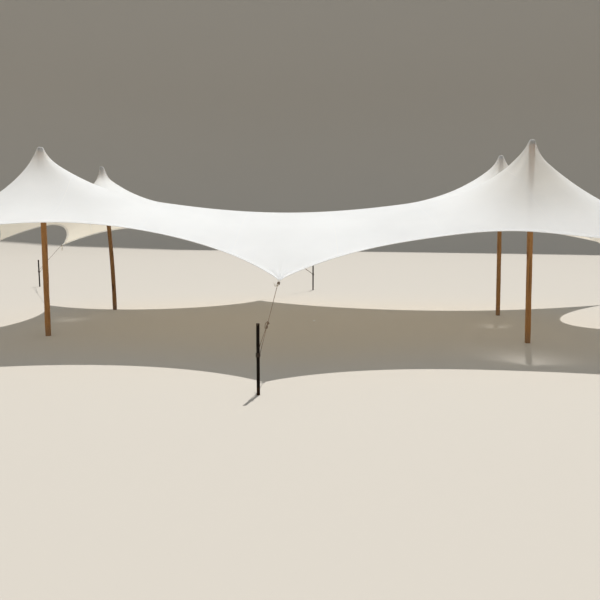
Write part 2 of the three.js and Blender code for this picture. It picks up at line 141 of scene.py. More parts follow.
lamp = bpy.data.objects.new("soft_lamp", bpy.data.lights.new("soft_lamp", "SUN"))
lamp.data.energy = 3.75
lamp.data.angle = math.radians(0.9)
lamp.data.color = (1.0, 0.995, 0.985)
lamp_towards = Vector((0.116, 0.431, 0.895))
lamp.rotation_mode = "QUATERNION"
lamp.rotation_quaternion = lamp_towards.to_track_quat("Z", "Y")
bpy.context.scene.collection.objects.link(lamp)
room = bpy.data.worlds.new("room")
room.use_nodes = True
room.node_tree.nodes["Background"].inputs["Color"].default_value = (0.85, 0.93, 1.0, 1.0)
room.node_tree.nodes["Background"].inputs["Strength"].default_value = 0.62
bpy.context.scene.world = room
bpy.context.scene.view_settings.view_transform = "Standard"

# The cloth
# One sheet of off-white knitted stretch cloth, 10.5 by 7.1 m as cut, shown two millimetres thick.
# It lies over the four posts' pads and is drawn out by its four corners and the middles of its four
# edges. Its rest shape is that of a net whose threads pull as the cloth and its hem do.
cloth_cut = (10.5, 7.064)
cloth_thick = 0.002
cloth_middle = np.array([0.350062, 0.464499, 0.0])
net_wide, net_deep = 2200.0, 1480.0
net_post_u, net_post_v, net_pad = 770.0, 350.0, 33.0
seam_lines = (-930.0, -665.0, -400.0, -134.0, 134.0, 400.0, 665.0, 930.0)
front_pull, back_pull, left_pull, right_pull = 292.0, 448.0, 336.0, 156.0  # of the four hems
pad_reach = 0.045
post_heads = {
    "front_left": (-3.881, -1.174, 2.962),
    "front_right": (3.531, -1.501, 2.996),
    "back_left": (-4.002, 1.765, 2.937),
    "back_right": (3.891, 1.248, 3.070),
}
# Each post's crest: how far its head stands above and beside the even net, how far that draws the
# cloth along, then the cloth's rise close by, in the middle and far out, even and to the right. A crest
# is flat on its pad, its parts fall off with their spreads, and all of it has died out at its end.
crest_flat, crest_spreads, crest_fade = 0.038, (0.05, 0.12, 0.22, 0.65), 0.4
crest_ends = {"front_left": 1.5, "front_right": 2.1, "back_left": 2.1, "back_right": 2.1}
crests = {
    "front_left": (0.035, 0.000, 0.180, 0.138, -0.297, 0.138, 0.036, 0.003, -0.078),
    "front_right": (0.062, 0.038, 0.146, -0.074, -0.058, 0.053, 0.138, -0.025, -0.101),
    "back_left": (0.020, 0.037, 0.172, -0.024, -0.198, 0.001, 0.220, -0.085, -0.007),
    "back_right": (0.004, -0.031, 0.170, 0.011, -0.175, 0.057, -0.147, 0.153, -0.023),
}
# The two front crests' slopes towards the front hem: the cloth's rise there close by, in the middle and
# far out, even and to the right. They leave a narrow spike standing over a gentler slope.
front_slopes = {
    "front_left": (0.129, 0.079, -0.167, 0.081, 0.190, -0.180),
    "front_right": (-0.532, 0.696, -0.077, -0.055, -0.194, -0.128),
}
ties = {  # side of the cloth (u, v), tie point, stake
    "front_left": (-1, -1, (-5.569, -3.823, 1.391), (-7.000, -5.300)),
    "front_middle": (0, -1, (-0.028, -3.367, 1.108), (-0.180, -4.427)),
    "front_right": (1, -1, (7.058, -4.072, 0.921), (7.900, -5.100)),
    "right_middle": (1, 0, (5.909, 0.145, 1.085), (7.700, 0.100)),
    "back_right": (1, 1, (6.930, 3.528, 1.355), (8.400, 5.600)),
    "back_middle": (0, 1, (-0.794, 3.961, 1.286), (0.261, 5.643)),
    "back_left": (-1, 1, (-5.438, 3.041, 1.309), (-7.548, 6.229)),
    "left_middle": (-1, 0, (-5.130, -0.288, 1.483), (-7.700, -0.290)),
}


def graded_lines(stops):
    """Lines between stops (place, step): the steps grow from both stops, up to widest, and meet in between.
    Each gap is then split in four."""
    growth, widest = 1.35, 70.0
    lines = [stops[0][0]]
    for (start, step_a), (stop, step_b) in zip(stops, stops[1:]):
        length = stop - start
        if length > max(step_a, step_b) * 1.5:
            left, right = [0.0], [length]
            while left[-1] + step_a < right[-1] - step_b - 1e-6:
                if step_a <= step_b:
                    left.append(left[-1] + step_a)
                    step_a = min(step_a * growth, widest)
                else:
                    right.append(right[-1] - step_b)
                    step_b = min(step_b * growth, widest)
            lines += [start + x for x in left[1:]] + [start + x for x in right[:0:-1]]
        lines.append(stop)
    places = np.arange((len(lines) - 1) * 4 + 1) / 4
    return np.interp(places, np.arange(len(lines)), lines)


def both_sides(half):
    """The stops of one half, and the same stops on the other side of the middle."""
    return sorted(half + [(-place, step) for place, step in half if place > 0])


at_seams = [(place, 70.0) for place in seam_lines if place > 0]
net_u = graded_lines(both_sides([(0.0, 30.0), (net_post_u - net_pad, 35.0), (net_post_u + net_pad, 35.0),
                                 (net_wide / 2, 30.0)] + at_seams))
net_v = graded_lines(both_sides([(0.0, 30.0), (net_post_v - net_pad, 35.0), (net_post_v + net_pad, 35.0),
                                 (net_deep / 2, 30.0)]))


def thread_pulls(lines, across, first_hem, last_hem):
    """Pull of the threads between neighbouring lines: the width of cloth that each stands for, and the
    hem's at either border, over the thread's own length."""
    width = np.zeros(len(across))
    width[:-1] += np.diff(across) / 2
    width[1:] += np.diff(across) / 2
    width[[0, -1]] += (first_hem, last_hem)
    return width[None, :] / np.diff(lines)[:, None]


pull_u = thread_pulls(net_u, net_v, front_pull, back_pull)[..., None]
pull_v = thread_pulls(net_v, net_u, left_pull, right_pull).T[..., None]
net = np.zeros((len(net_u), len(net_v), 3))
net_held = np.zeros(net.shape[:2], bool)
for (name, head), (side_u, side_v) in zip(post_heads.items(), [(-1, -1), (1, -1), (-1, 1), (1, 1)]):
    a = (net_u[:, None] - side_u * net_post_u) / net_pad + 0 * net_v
    b = (net_v[None, :] - side_v * net_post_v) / net_pad + 0 * net_u[:, None]
    on_pad = (abs(a) < 1 + 1e-6) & (abs(b) < 1 + 1e-6)
    a, b = a[on_pad], b[on_pad]
    disc = np.stack([a * np.sqrt(1 - b**2 / 2), b * np.sqrt(1 - a**2 / 2), 0 * a], axis=-1) * pad_reach
    net[on_pad] = np.array(head) - (crests[name][1], 0, crests[name][0]) + disc
    net_held |= on_pad
for side_u, side_v, at, _ in ties.values():
    i = np.argmin(abs(net_u - side_u * net_wide / 2))
    j = np.argmin(abs(net_v - side_v * net_deep / 2))
    net[i, j] = at
    net_held[i, j] = True


def drawn(places):
    """Sum of the threads' pulls on each node of the net, none on the held ones."""
    force = np.zeros_like(places)
    along = pull_u * (places[:-1] - places[1:])
    force[:-1] += along
    force[1:] -= along
    along = pull_v * (places[:, :-1] - places[:, 1:])
    force[:, :-1] += along
    force[:, 1:] -= along
    force[net_held] = 0
    return force


rest = -drawn(net)
step_to = rest.copy()
size = (rest**2).sum(axis=(0, 1))
for _ in range(4000):
    if size.max() < 1e-16:
        break
    pulled = drawn(step_to)
    share = size / (pulled * step_to).sum(axis=(0, 1))
    net += share * step_to
    rest -= share * pulled
    size_next = (rest**2).sum(axis=(0, 1))
    step_to = rest + size_next / size * step_to
    size = size_next


def eased(x):
    """0 below 0, 1 above 1, and a smooth S between."""
    x = np.clip(x, 0, 1)
    return x * x * (3 - 2 * x)


net -= cloth_middle


def line_weights(places, lines):
    """Weights with which a smooth curve along the net's lines (a cubic B-spline that goes on straight past
    the border) takes each line, at the given places on the cloth."""
    at = np.interp(places, lines, np.arange(len(lines)))
    k = np.clip(np.floor(at).astype(int), 0, len(lines) - 2)
    t = at - k
    weights = np.zeros((len(at), len(lines) + 2))
    row = np.arange(len(at))
    shares = (1 - t) ** 3, 3 * t**3 - 6 * t**2 + 4, -3 * t**3 + 3 * t**2 + 3 * t + 1, t**3
    for o, share in enumerate(shares):
        weights[row, k + o] += share / 6
    weights[:, 1] += 2 * weights[:, 0]
    weights[:, 2] -= weights[:, 0]
    weights[:, -2] += 2 * weights[:, -1]
    weights[:, -3] -= weights[:, -1]
    return weights[:, 1:-1]


def cloth_lines(half, post, count):
    """The cloth's lines over one side of the net, closer at the posts and closest at the ties: equal steps
    in the sum of a base density, 1/widest, and a bell curve (strength, width) at each post and tie."""
    widest, post_bell, tie_bell = 13.0, (0.22, 60), (0.45, 16)
    bells = [(at, *post_bell) for at in (-post, post)] + [(at, *tie_bell) for at in (-half, 0, half)]
    fine = np.linspace(-half, half, 8001)
    density = 1 / widest + sum(s * np.exp(-(((fine - at) / w) ** 2)) for at, s, w in bells)
    sum_to = np.concatenate([[0], np.cumsum((density[1:] + density[:-1]) / 2)])
    return np.interp(np.linspace(0, sum_to[-1], count), sum_to, fine)


lay_u = cloth_lines(net_wide / 2, net_post_u, 241)
lay_v = cloth_lines(net_deep / 2, net_post_v, 203)
weights_u, weights_v = line_weights(lay_u, net_u), line_weights(lay_v, net_v)
cloth = np.einsum("ai,ijc,bj->abc", weights_u, net, weights_v, optimize=True)
flat_u = (lay_u * cloth_cut[0] / net_wide)[:, None] + 0 * lay_v
flat_v = (lay_v * cloth_cut[1] / net_deep)[None, :] + 0 * lay_u[:, None]


def crest_shares(away, end):
    """What is left, at a distance from a post's head, of a crest's near, close, middle and far parts,
    exp(-distance past the pad / spread) each, and of all of it as it dies out towards its end."""
    past = np.maximum(away - crest_flat, 0)
    return *(np.exp(-past / spread) for spread in crest_spreads), eased((end - away) / (crest_fade * end))


# The crests and the front slopes, added to the even cloth.
even_cloth = cloth.copy()
for name, (rise, aside, draw, close, middle, far, right_1, right_2, right_3) in crests.items():
    off = even_cloth - (np.array(post_heads[name]) - cloth_middle - (aside, 0, rise))
    away = np.hypot(off[..., 0], off[..., 1])
    near_share, close_share, middle_share, far_share, left = crest_shares(away, crest_ends[name])
    to_right = off[..., 0] / np.maximum(away, 0.001) * (1 - near_share)
    lift = (rise - close - middle - far) * near_share
    lift += close * close_share + middle * middle_share + far * far_share
    lift += to_right * (right_1 * close_share + right_2 * middle_share + right_3 * far_share)
    cloth[..., 2] += lift * left
    cloth[..., 0] += aside * np.exp(-np.maximum(away - crest_flat, 0) / draw) * left
for name, (close, middle, far, right_1, right_2, right_3) in front_slopes.items():
    off = cloth - (np.array(post_heads[name]) - cloth_middle)
    away = np.maximum(np.hypot(off[..., 0], off[..., 1]), 0.001)
    near_share, close_share, middle_share, far_share, left = crest_shares(away, crest_ends[name])
    forward = (1 - near_share) * np.clip(-off[..., 1] / away, 0, 1) ** 2 * left
    lift = close * close_share + middle * middle_share + far * far_share
    to_right = off[..., 0] / away
    lift += to_right * (right_1 * close_share + right_2 * middle_share + right_3 * far_share)
    cloth[..., 2] += forward * lift


def unit(v):
    """Each vector divided by its length."""
    return v / np.linalg.norm(v, axis=-1, keepdims=True)


def outward(points):
    """Unit normals of a grid of points, from the differences to their neighbours."""
    return unit(np.cross(np.gradient(points, axis=0), np.gradient(points, axis=1)))


# Each tie's own directions: along its rope to the hitch on its stake, up from it, and across. The cloth is
# drawn the last few millimetres to the tie point.
hitch_height, drawn_round_tie = 0.430, 0.07
tie_frames = {}
for name, (side_u, side_v, at, stake) in ties.items():
    at = np.array(at) - cloth_middle
    hitch = np.array([*stake, hitch_height]) - cloth_middle
    along = unit(hitch - at)
    up = unit(np.array([0, 0, 1]) - along[2] * along)
    tie_frames[name] = (at, hitch, along, up, np.cross(along, up))
    i, j = np.argmin(abs(lay_u - side_u * net_wide / 2)), np.argmin(abs(lay_v - side_v * net_deep / 2))
    away = np.linalg.norm(cloth - cloth[i, j], axis=-1, keepdims=True)
    cloth += (at - cloth[i, j]) * np.exp(-((away / drawn_round_tie) ** 2))

# Folds: a fan of pleats at each tie, where the cloth is gathered into its binding, and short shallow
# ones round each post's head; both die out into the smooth cloth. Depths and reaches in metres.
short_depth, short_reach, long_depth, long_reach = 0.0085, 0.16, 0.0030, 0.55
pleats_to, pleats_fade, head_depth, head_reach = 1.2, 0.8, 0.0022, 0.30
lift = np.zeros(cloth.shape[:2])
for name, (side_u, side_v, *_) in ties.items():
    at = tie_frames[name][0]
    away = np.linalg.norm(cloth - at, axis=-1)
    from_u, from_v = flat_u - side_u * cloth_cut[0] / 2, flat_v - side_v * cloth_cut[1] / 2
    inward = np.arctan2(-side_v, -side_u)
    turned = np.angle(np.exp(1j * (np.arctan2(from_v, from_u) - inward)))
    at_corner = side_u and side_v
    spread = turned / (math.pi / 4 if at_corner else math.pi / 2)
    pleats = 3.0 if at_corner else 4.0
    wander = 0.5 * np.sin(3.1 * spread + 1.3 * side_u - 0.7 * side_v)
    fan = np.cos(math.pi * pleats * spread + wander)
    fan += 0.35 * np.sin(math.pi * 1.7 * pleats * spread + 2 * wander)
    depth = short_depth * np.exp(-away / short_reach) + long_depth * np.exp(-away / long_reach)
    lift += fan * depth * eased(away / 0.05) * (1 - eased((away - pleats_to) / pleats_fade))
for k, (name, head) in enumerate(post_heads.items()):
    head = np.array(head) - cloth_middle
    away = np.linalg.norm(cloth - head, axis=-1)
    round_post = np.arctan2(cloth[..., 1] - head[1], cloth[..., 0] - head[0])
    folds = np.cos(9 * round_post + 1.1 * k + 1.5 * np.sin(2 * round_post + k))
    folds += 0.5 * np.cos(14 * round_post + 2.3 * k)
    lift += head_depth * folds * eased((away - 0.06) / 0.12) * np.exp(-away / head_reach)
cloth += outward(cloth) * lift[..., None]

canopy = surface("canopy", cloth, lay=np.stack([flat_u, flat_v], axis=-1))

# The knit is drawn open round the posts' heads: how far out, and how much at most.
# The same share also darkens the cloth's colour there as painted shade.
drawn_reach = {"front_left": (0.22, 1.0), "front_right": (0.75, 1.0),
               "back_left": (0.50, 0.9), "back_right": (0.42, 0.8)}
drawn_share = np.zeros(cloth.shape[:2])
for name, (reach, most) in drawn_reach.items():
    from_head = cloth - np.array(post_heads[name]) + cloth_middle
    drawn_share += most * np.exp(-(from_head**2).sum(-1) / reach**2)


def draw_open(piece, share):
    """Keeps with each point of a piece how far its knit is drawn open."""
    kept = piece.data.attributes.new("drawn_open", "FLOAT", "POINT")
    kept.data.foreach_set("value", np.resize(share, len(kept.data)).astype(np.float32))


draw_open(canopy, drawn_share.ravel())
shell = canopy.modifiers.new("thickness", "SOLIDIFY")
shell.thickness = cloth_thick
shell.offset = 0.0
shell.material_offset = 1


def ramp_of(add, factor, stops):
    """A colour ramp on factor with the given (place, colour) stops."""
    node = add("ShaderNodeValToRGB", {"Fac": factor})
    ramp = node.color_ramp
    while len(ramp.elements) < len(stops):
        ramp.elements.new(0.5)
    for element, (place, colour) in zip(ramp.elements, stops):
        element.position = place
        element.color = (*colour, 1.0)
    return node.outputs["Color"]


def worked(add, operation, *values):
    """The result of the named sum on one to three values."""
    return add("ShaderNodeMath", dict(enumerate(values)), operation=operation).outputs[0]


def ranged(add, value, start, end, low=0.0, high=1.0):
    """Goes from start to end while value goes from low to high, and stays there beyond."""
    sockets = {"Value": value, "From Min": low, "From Max": high, "To Min": start, "To Max": end}
    return add("ShaderNodeMapRange", sockets).outputs[0]


def mottled(add, place, scale, detail=2.0, roughness=0.5):
    """Soft uneven patches, 0 to 1, over the places on a material."""
    sockets = {"Vector": place, "Scale": scale, "Detail": detail, "Roughness": roughness}
    return add("ShaderNodeTexNoise", sockets).outputs["Fac"]


def scaled(add, place, scale, turned=(0.0, 0.0, 0.0)):
    """Places on a material, multiplied by scale in each direction and turned."""
    return add("ShaderNodeMapping", {"Vector": place, "Scale": scale, "Rotation": turned}).outputs["Vector"]


def laid_over(add, under, over, share=1.0, blend="MIX"):
    """Colour under with colour over laid on it by share, or multiplied by it."""
    sockets = {0: share, 6: under, 7: over}
    return add("ShaderNodeMix", sockets, data_type="RGBA", blend_type=blend).outputs[2]


def raised(add, height, strength, distance, **under):
    """A face's direction with a small relief of the given height; Normal is that of the face under it."""
    sockets = {"Height": height, "Strength": strength, "Distance": distance, **under}
    return add("ShaderNodeBump", sockets).outputs["Normal"]


def open_knit(finish, back_light, back_share, open_share):
    """Lets light from behind through a cloth finish, and shows what is behind it by its open share."""
    material, shader, add, join = finish
    front, back = shader.outputs["BSDF"], back_light.outputs["BSDF"]
    closed = add("ShaderNodeMixShader", {0: back_share, 1: front, 2: back}).outputs["Shader"]
    gaps = add("ShaderNodeBsdfTransparent").outputs["BSDF"]
    whole = add("ShaderNodeMixShader", {0: open_share, 1: closed, 2: gaps}).outputs["Shader"]
    join(material.node_tree.nodes["Material Output"], {"Surface": whole})


def cloth_finish(name, colour, see_through):
    """Knitted stretch cloth: off-white with faint uneven soiling, fine knit ribs and a matte face. It lets
    part of the light from behind through, and shows a little of what is behind it where drawn open; there
    its colour is also darkened towards dark grey as painted shade round the posts' heads."""
    rib_wide, row_high, back_share = 0.0024, 0.0016, 0.45
    material, shader, add, join = finish = finish_of(name, colour, 0.78, sheen=0.15)
    lay = add("ShaderNodeUVMap", uv_map="lay").outputs["UV"]
    soiling = mottled(add, add("ShaderNodeTexCoord").outputs["Object"], 0.8, 5.0, 0.6)
    tint = ramp_of(add, soiling, [(0.35, tuple(c * 0.93 for c in colour)), (0.62, colour)])
    drawn_open = add("ShaderNodeAttribute", attribute_name="drawn_open").outputs["Fac"]
    # Painted shade: where the knit is drawn open round the heads, the cloth's colour is darkened towards
    # dark grey.
    painted_head_shade = ranged(add, drawn_open, 0.0, 0.24, low=0.35)
    join(shader, {"Base Color": laid_over(add, tint, (0.1, 0.095, 0.09, 1.0), painted_head_shade)})
    apart = add("ShaderNodeSeparateXYZ", {"Vector": lay})
    ribs = worked(add, "SINE", worked(add, "MULTIPLY", apart.outputs["X"], 2 * math.pi / rib_wide))
    rows = worked(add, "SINE", worked(add, "MULTIPLY", apart.outputs["Y"], 2 * math.pi / row_high))
    slack = raised(add, mottled(add, lay, 9.0), 0.10, 0.01)
    knit = raised(add, worked(add, "ADD", ribs, rows), 0.25, 0.0003, Normal=slack)
    join(shader, {"Normal": knit})
    back_light = add("ShaderNodeBsdfTranslucent", {"Color": (*see_through, 1.0), "Normal": knit})
    open_knit(finish, back_light, back_share, ranged(add, drawn_open, 0.13, 0.64))
    return material


canopy.data.materials.append(cloth_finish("white_stretch_cloth", (0.925, 0.95, 0.99), (0.93, 0.94, 0.96)))
# The inner face's cream colour and warm back light are painted light: the warm glow of light bounced off the
# ground and let through the cloth.
canopy.data.materials.append(cloth_finish("inner_face_painted_warm_glow", (0.94, 0.89, 0.77), (0.95, 0.875, 0.735)))
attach(canopy, "root")
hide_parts(*[f"canopy_strip_{k}" for k in range(1, 10)])

# Seams and hem
# Nine widths of cloth are joined by eight flat-felled seams, two rows of stitches each. Between the
# ties the edge is turned over twice into a hem with a cord in it, sewn down with two rows.
seam_wide, seam_thick = 0.012, 0.0028
hem_wide, hem_thick, hem_cord = 0.038, 0.0052, 0.0085


def along_edge(points):
    """Distance travelled to each point of a line."""
    return np.concatenate([[0], np.cumsum(np.linalg.norm(np.diff(points, axis=0), axis=-1))])


def carried(path, side, face, profile, wide=1.0, thick=1.0):
    """A profile of (across, up) offsets carried along a path: point = path + across*side + up*face.
    wide and thick scale the profile at each station."""
    across = profile[None, :, 0] * np.reshape(wide, (-1, 1))
    rise = profile[None, :, 1] * np.reshape(thick, (-1, 1))
    return path[:, None] + across[..., None] * side[:, None] + rise[..., None] * face[:, None]


def band_lay(path, profile):
    """Place on the material for a profile carried along a path: distance along it, and across it."""
    across = np.append(profile[:, 0], profile[0, 0])
    return np.stack([along_edge(path)[:, None] + 0 * across, across[None, :] + 0 * path[:, :1]], axis=-1)


def sewn_finish(name, open_share, back_share):
    """The same cloth in several layers, with two rows of pale stitches along it and slight puckers between
    them; open_share is what it shows of the things behind it, back_share its part lit from behind."""
    white, thread_white = (0.94, 0.955, 0.975), (0.84, 0.84, 0.83)
    stitch_long, row_from_middle = 0.006, 0.0052
    material, shader, add, join = finish = finish_of(name, white, 0.8)
    lay = add("ShaderNodeSeparateXYZ", {"Vector": add("ShaderNodeUVMap", uv_map="lay").outputs["UV"]})
    stitch = worked(add, "SINE", worked(add, "MULTIPLY", lay.outputs["X"], 2 * math.pi / stitch_long))
    from_middle = worked(add, "PINGPONG", lay.outputs["Y"], 0.0105)
    from_row = worked(add, "ABSOLUTE", worked(add, "SUBTRACT", from_middle, row_from_middle))
    on_row = ranged(add, from_row, 1.0, 0.0, 0.0006, 0.0012)
    thread = worked(add, "MAXIMUM", worked(add, "MULTIPLY", stitch, on_row), 0.0)
    join(shader, {"Base Color": ramp_of(add, thread, [(0.0, white), (1.0, thread_white)])})
    pucker = mottled(add, add("ShaderNodeTexCoord").outputs["Object"], 60.0)
    join(shader, {"Normal": raised(add, worked(add, "ADD", thread, pucker), 0.5, 0.001)})
    back_light = add("ShaderNodeBsdfTranslucent", {"Color": (0.95, 0.93, 0.89, 1.0)})
    drawn_open = add("ShaderNodeAttribute", attribute_name="drawn_open").outputs["Fac"]
    open_knit(finish, back_light, back_share, ranged(add, drawn_open, open_share, open_share + 0.5))
    return material


hem_look, seam_look = sewn_finish("sewn_hem", 0.35, 0.45), sewn_finish("sewn_seam", 0.12, 0.37)
cloth_out = outward(cloth)
sewn_pieces = []
lens = np.linspace(0, 2 * math.pi, 11)[:-1]
seam_profile = np.stack([np.cos(lens) * seam_wide / 2, np.sin(lens) * seam_thick / 2], axis=-1)
for k, place in enumerate(seam_lines):
    i = np.searchsorted(lay_u, place) - 1
    t = (place - lay_u[i]) / (lay_u[i + 1] - lay_u[i])
    path = (1 - t) * cloth[i] + t * cloth[i + 1]
    face = unit((1 - t) * cloth_out[i] + t * cloth_out[i + 1])
    along_seam = (1 - t) * drawn_share[i] + t * drawn_share[i + 1]
    path, face, along_seam = path[1:-1], face[1:-1], along_seam[1:-1]
    ahead = unit(np.gradient(path, axis=0))
    side = unit(np.cross(ahead, face))
    seam = surface(f"seam_{k + 1}", carried(path, side, face, seam_profile), around=True, ends=True,
                   lay=band_lay(path, seam_profile))
    draw_open(seam, np.repeat(along_seam, len(seam_profile)))
    sewn_pieces.append(seam)

# The hem's profile: a flat band inward of the edge and a round roll on the edge itself.
roll = np.linspace(-2.4, 2.4, 9)
hem_profile = np.concatenate([
    np.stack([-np.cos(roll) * hem_cord / 2, np.sin(roll) * hem_cord / 2], axis=-1),
    [(0.010, hem_thick / 2), (0.024, hem_thick / 2), (hem_wide - 0.003, hem_thick / 2), (hem_wide, 0),
     (hem_wide - 0.003, -hem_thick / 2), (0.024, -hem_thick / 2), (0.010, -hem_thick / 2)]])
mid_u, mid_v = len(lay_u) // 2, len(lay_v) // 2
edges = {
    "front_left": (np.s_[: mid_u + 1, 0], 1, 1), "front_right": (np.s_[mid_u:, 0], 1, 1),
    "back_left": (np.s_[: mid_u + 1, -1], 1, -1), "back_right": (np.s_[mid_u:, -1], 1, -1),
    "left_front": (np.s_[0, : mid_v + 1], 0, 1), "left_back": (np.s_[0, mid_v:], 0, 1),
    "right_front": (np.s_[-1, : mid_v + 1], 0, -1), "right_back": (np.s_[-1, mid_v:], 0, -1),
}
inwards = {0: unit(np.gradient(cloth, axis=0)), 1: unit(np.gradient(cloth, axis=1))}
for name, (where, axis, sense) in edges.items():
    path, face = cloth[where], cloth_out[where]
    ahead = unit(np.gradient(path, axis=0))
    inward = sense * inwards[axis][where]
    inward = unit(inward - (inward * ahead).sum(-1, keepdims=True) * ahead)
    face = unit(np.cross(ahead, inward))
    face *= np.sign((face * cloth_out[where]).sum(-1, keepdims=True).sum())
    travel = along_edge(path)
    from_end = np.minimum(travel, travel[-1] - travel)
    narrow = 0.22 + 0.78 * eased(from_end / 0.16)
    rings = carried(path, inward, face, hem_profile, wide=narrow, thick=0.5 + 0.5 * narrow)
    hem = surface(f"hem_{name}", rings, around=True, ends=True, lay=band_lay(path, hem_profile))
    sewn_pieces.append(hem)
for piece in sewn_pieces:
    piece.data.materials.append(seam_look if piece.name.startswith("seam") else hem_look)
    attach(piece, "root")

# Gathered ends of the cloth
# At each tie the cloth is bunched into a bundle as thick as a thumb and the rope is bound round its neck.
# The surplus cloth hangs down past the binding, twisted and pleated; at the front it is curled up short.


def smooth_line(points, step):
    """A smooth curve through the rows of points (Catmull-Rom: cubics whose slope at each point is half the
    difference of its neighbours), sampled at nearly equal steps of its length."""
    p = np.concatenate([2 * points[:1] - points[1:2], points, 2 * points[-1:] - points[-2:-1]])
    t = np.linspace(0, 1, 25)[:-1][None, :, None]
    a, b, c, d = (p[k : len(p) - 3 + k, None] for k in range(4))
    fine = 0.5 * (2 * b + (c - a) * t + (2 * a - 5 * b + 4 * c - d) * t**2 + (3 * b - a - 3 * c + d) * t**3)
    fine = np.concatenate([fine.reshape(-1, p.shape[1]), points[-1:]])
    travel = along_edge(fine[:, :3])
    stations = np.linspace(0, travel[-1], max(int(travel[-1] / step), 2) + 1)
    return np.stack([np.interp(stations, travel, fine[:, k]) for k in range(p.shape[1])], axis=-1)


def rings_round(path, side, other, reach, angle):
    """Rings of points round a path: path + reach*(side*cos(angle) + other*sin(angle))."""
    return path[:, None] + (reach * np.cos(angle))[..., None] * side[:, None] \
        + (reach * np.sin(angle))[..., None] * other[:, None]


def tube_lay(around, along):
    """Place on the material for rings: distance round each, and distance along them."""
    return np.stack([around[None, :] + 0 * along[:, None], along[:, None] + 0 * around], axis=-1)


neck_radius = 0.0105  # of the bundle under the rope's binding
bunch_stations = [  # out along the rope, aside, down, radius
    [-0.020, 0, 0, 0.005], [-0.008, 0, 0, 0.009], [0.004, 0, 0, 0.0125], [0.016, 0, 0, 0.0140],
    [0.027, 0, 0, 0.0125], [0.036, 0, 0, neck_radius], [0.054, 0, 0, neck_radius], [0.070, 0, 0, 0.0110]]
hanging_stations = [[0.080, 0, 0.004, 0.0135], [0.091, 0, 0.018, 0.0155], [0.098, 0, 0.043, 0.0145],
                    [0.101, 0, 0.078, 0.0125], [0.102, 0, 0.117, 0.0105]]
curled_stations = [[0.081, 0.004, 0.003, 0.0120], [0.088, 0.015, 0.006, 0.0120],
                   [0.086, 0.030, 0.008, 0.0115], [0.074, 0.043, 0.008, 0.0110],
                   [0.056, 0.051, 0.006, 0.0100], [0.040, 0.055, 0.003, 0.0085]]
hollow_rings = ((0.93, -0.002), (0.80, 0.001), (0.5, 0.006), (0.2, 0.008))  # at the open end: share, depth
tail_look = cloth_finish("gathered_cloth", (0.88, 0.865, 0.83), (0.90, 0.84, 0.74))
for k, (name, (at, _, along, up, across)) in enumerate(tie_frames.items()):
    stations = np.array(bunch_stations + (curled_stations if name == "front_middle" else hanging_stations))
    spine = at + stations[:, :1] * along + stations[:, 1:2] * across - stations[:, 2:3] * (0, 0, 1)
    spine = smooth_line(np.concatenate([spine, stations[:, 3:]], axis=1), 0.0025)
    path, radius = spine[:, :3], spine[:, 3]
    ahead = unit(np.gradient(path, axis=0))
    side = np.broadcast_to(up if name == "front_middle" else across, path.shape)
    side = unit(side - (side * ahead).sum(-1, keepdims=True) * ahead)
    other = np.cross(ahead, side)
    travel = along_edge(path)[:, None]
    angle = np.linspace(0, 2 * math.pi, 41)[:-1][None, :]
    twist = angle + 9.0 * travel + 0.8 * k
    pleat = 0.16 * np.cos(5 * twist) + 0.08 * np.cos(9 * twist + 14 * travel + k) - 0.10
    pleat = pleat * (0.45 + 0.75 * eased((travel - 0.075) / 0.05))
    reach = radius[:, None] * (1 + pleat)
    rings = rings_round(path, side, other, reach, angle)
    last = rings[-1] - path[-1]
    hollow = [path[-1] + last * share - ahead[-1] * depth for share, depth in hollow_rings]
    rings = np.concatenate([rings, hollow])
    travel = np.append(travel[:, 0], travel[-1, 0] + np.array([0.002, 0.004, 0.008, 0.012]))
    tail = surface(f"gathered_end_{name}", rings, around=True, ends=True,
                   lay=tube_lay(np.linspace(0, 0.08, 41), travel))
    tail.data.materials.append(tail_look)
    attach(tail, "root")
    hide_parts(f"cloth_tail_{name}")

# Guy ropes
# Eight-millimetre laid rope, brown with age. Each is bound round the neck of the gathered cloth, runs taut
# to its stake, takes several turns round it and comes back up to a knot of two windings and a bight.
rope_radius, rope_lay, stake_radius, gap = 0.004, 0.042, 0.018, 0.0003
binding_from, binding_turns, binding_pitch = 0.040, 3.5, 0.0086
wraps, wrap_pitch = 4.5, 0.0087
knot_share, knot_turns, knot_pitch = 0.34, 4.25, 0.0095


def wound(origin, axis, first, second, radius, start, turns, pitch):
    """Points and their outward directions on a helix: origin + axis*pitch*t + radius*out, where out is
    first*cos(start + 2*pi*t) + second*sin(start + 2*pi*t), for t from 0 to turns in sixteenths."""
    t = np.linspace(0, turns, int(16 * abs(turns)) + 1)[:, None]
    out = first * np.cos(start + 2 * math.pi * t) + second * np.sin(start + 2 * math.pi * t)
    return np.concatenate([origin + axis * pitch * t + radius * out, out], axis=1)


def facing(points, face):
    """Rows of a point and the outward direction there, which is the same for all."""
    return np.concatenate([points, np.broadcast_to(face, points.shape)], axis=1)


def rope_body(name, route):
    """A three-strand laid rope along a route of (point, outward direction) rows. Its section is three
    touching rounds, r = b*cos(d) + sqrt(a*a - b*b*sin(d)**2) at angle d from a strand's middle, where a is
    the strand's radius and b how far it lies from the rope's middle; the section turns along the rope."""
    strand_from_middle, strand_radius = 0.42, 0.58
    line = smooth_line(route, 0.0035)
    path = line[:, :3]
    ahead = unit(np.gradient(path, axis=0))
    side = unit(line[:, 3:] - (line[:, 3:] * ahead).sum(-1, keepdims=True) * ahead)
    other = np.cross(ahead, side)
    travel = along_edge(path)
    part = np.arange(12)
    from_strand = np.radians(np.array([0, 30, 60, -30]))[part % 4]
    section = strand_from_middle * np.cos(from_strand)
    section += np.sqrt(strand_radius**2 - (strand_from_middle * np.sin(from_strand)) ** 2)
    angle = part[None, :] * math.pi / 6 + (2 * math.pi * travel / rope_lay)[:, None]
    rings = rings_round(path, side, other, rope_radius * section, angle)
    return surface(name, rings, around=True, ends=True, lay=tube_lay(np.arange(13) / 4, travel))


